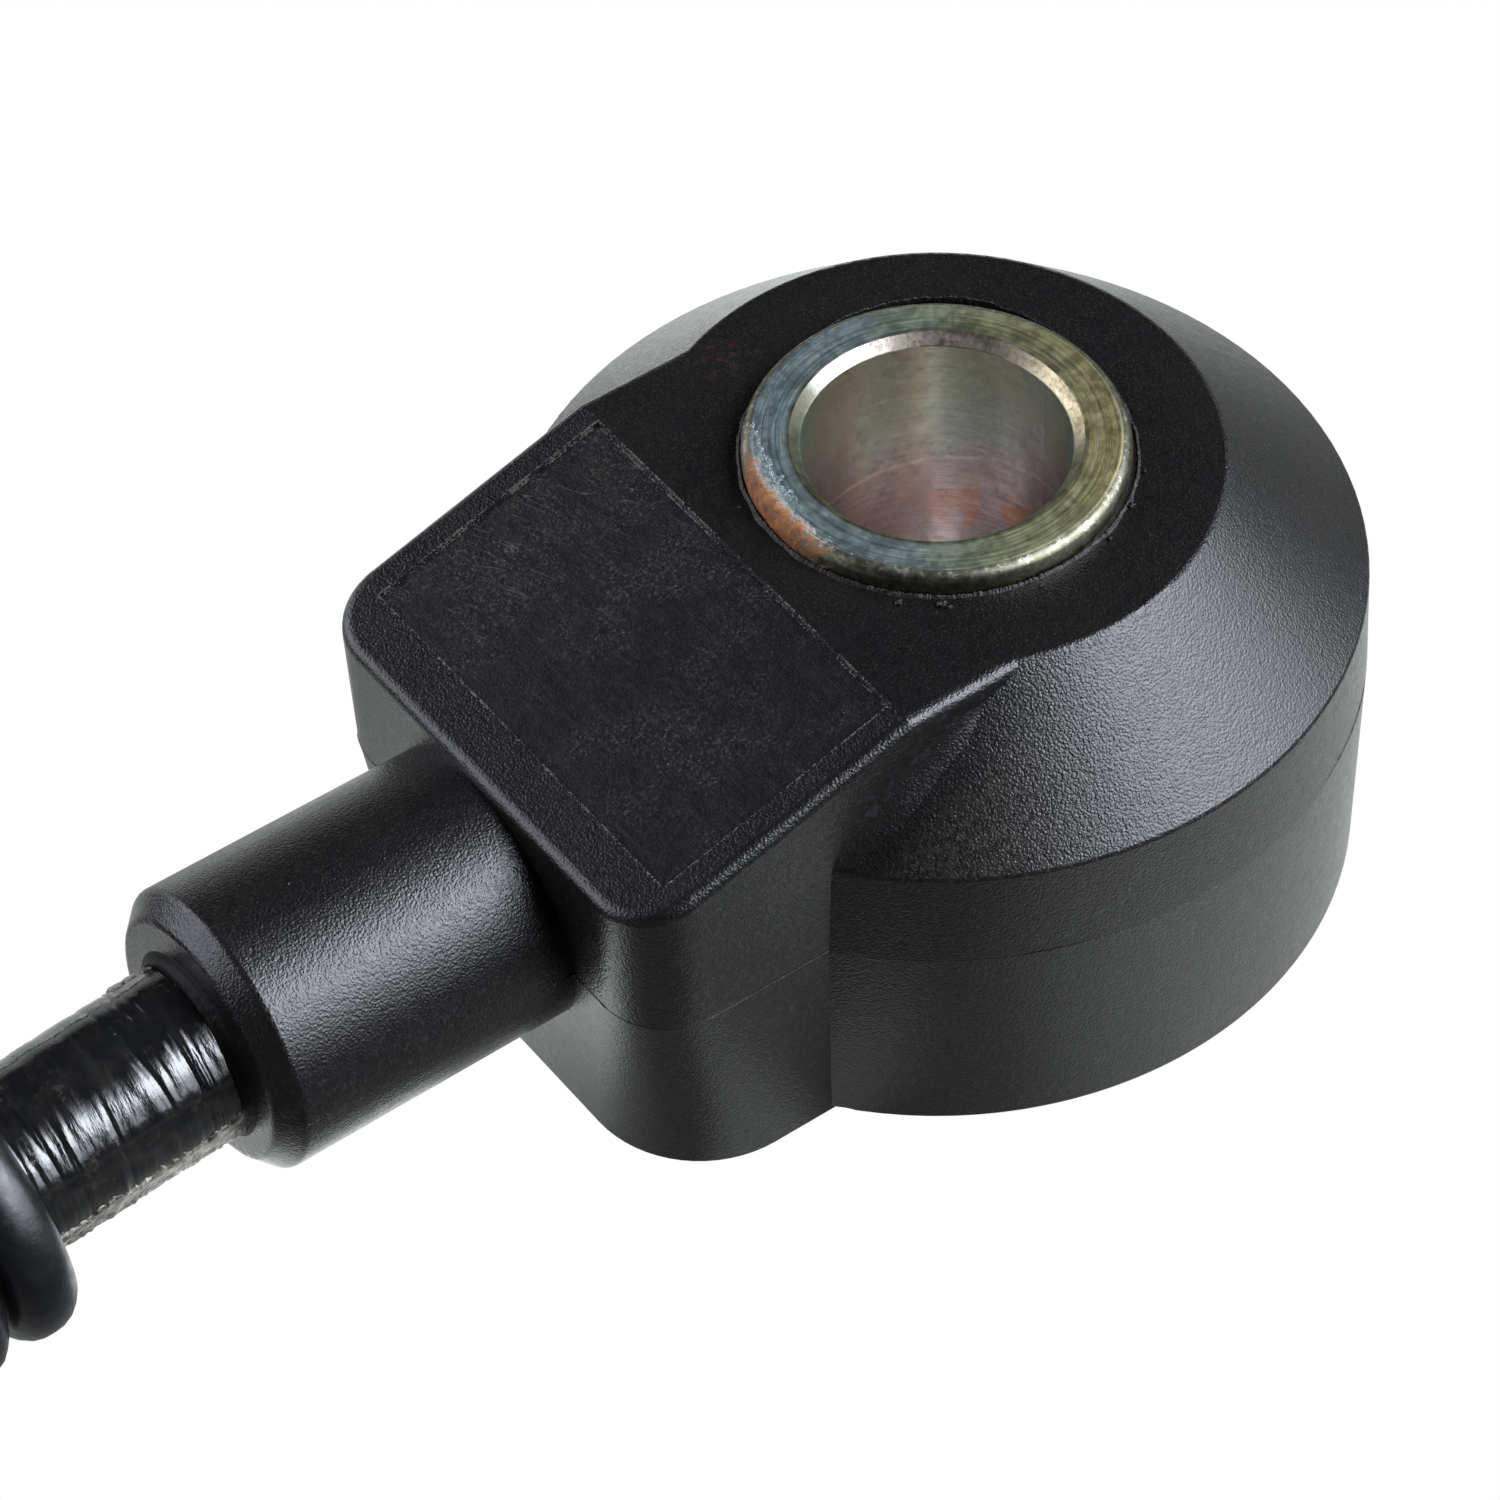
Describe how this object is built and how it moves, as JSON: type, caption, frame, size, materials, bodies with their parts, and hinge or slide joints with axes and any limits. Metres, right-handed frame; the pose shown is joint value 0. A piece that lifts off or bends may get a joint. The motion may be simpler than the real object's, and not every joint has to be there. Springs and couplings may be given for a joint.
{
  "type": "engine knock sensor",
  "caption": "Flat-response knock sensor: round black moulded head on a steel bolt sleeve, with a squared boss, cable spout, and a short lead in corrugated conduit that ends in a connector.",
  "frame": {"origin": "on the axis of the bolt bore, at the sleeve's contact face, where it sits on the engine block", "axes": "+Z along the bolt bore, from the contact face up to the bolt head's seat; -X towards the cable spout; +Y to the side the lead is laid out on"},
  "size_m": [0.1664, 0.1284, 0.0178],
  "materials": {
    "black_moulding": "fine-grained black moulding",
    "plated_steel": "turned steel, zinc plated and yellow passivated, worn",
    "insulating_film": "amber film",
    "contact_brass": "tinned brass sheet",
    "piezo_ceramic": "sintered, with silvered faces",
    "bare_steel": "turned",
    "spring_steel": "blued spring steel",
    "crimp_brass": "tinned",
    "copper_strand": "bright copper",
    "core_insulation_light": "matte",
    "core_insulation_dark": "matte",
    "cable_jacket": "glossy black jacket with fine cross wrinkles",
    "conduit_plastic": "satin black polyamide",
    "connector_plastic": "fine-grained black moulding",
    "seal_rubber": "soft silicone",
    "lock_plastic": "matte",
    "pin_metal": "tin plated"
  },
  "bodies": {
    "root": {"housing": "black_moulding", "sleeve": "plated_steel", "insulating_tube": "insulating_film", "lower_insulator": "insulating_film", "upper_insulator": "insulating_film", "lower_contact": "contact_brass", "upper_contact": "contact_brass", "piezo_ring": "piezo_ceramic", "seismic_mass": "bare_steel", "disc_spring": "spring_steel", "clamp_nut": "bare_steel", "crimp_1": "crimp_brass", "crimp_2": "crimp_brass", "conductor_1": "copper_strand", "conductor_2": "copper_strand", "core_1": "core_insulation_light", "core_3": "core_insulation_light", "core_2": "core_insulation_dark", "core_4": "core_insulation_dark", "cable": "cable_jacket", "conduit": "conduit_plastic", "connector_housing": "connector_plastic", "connector_cap": "connector_plastic", "wire_seal": "seal_rubber", "pin_lock": "lock_plastic", "pin_1": "pin_metal", "pin_2": "pin_metal"}
  },
  "joints": []
}
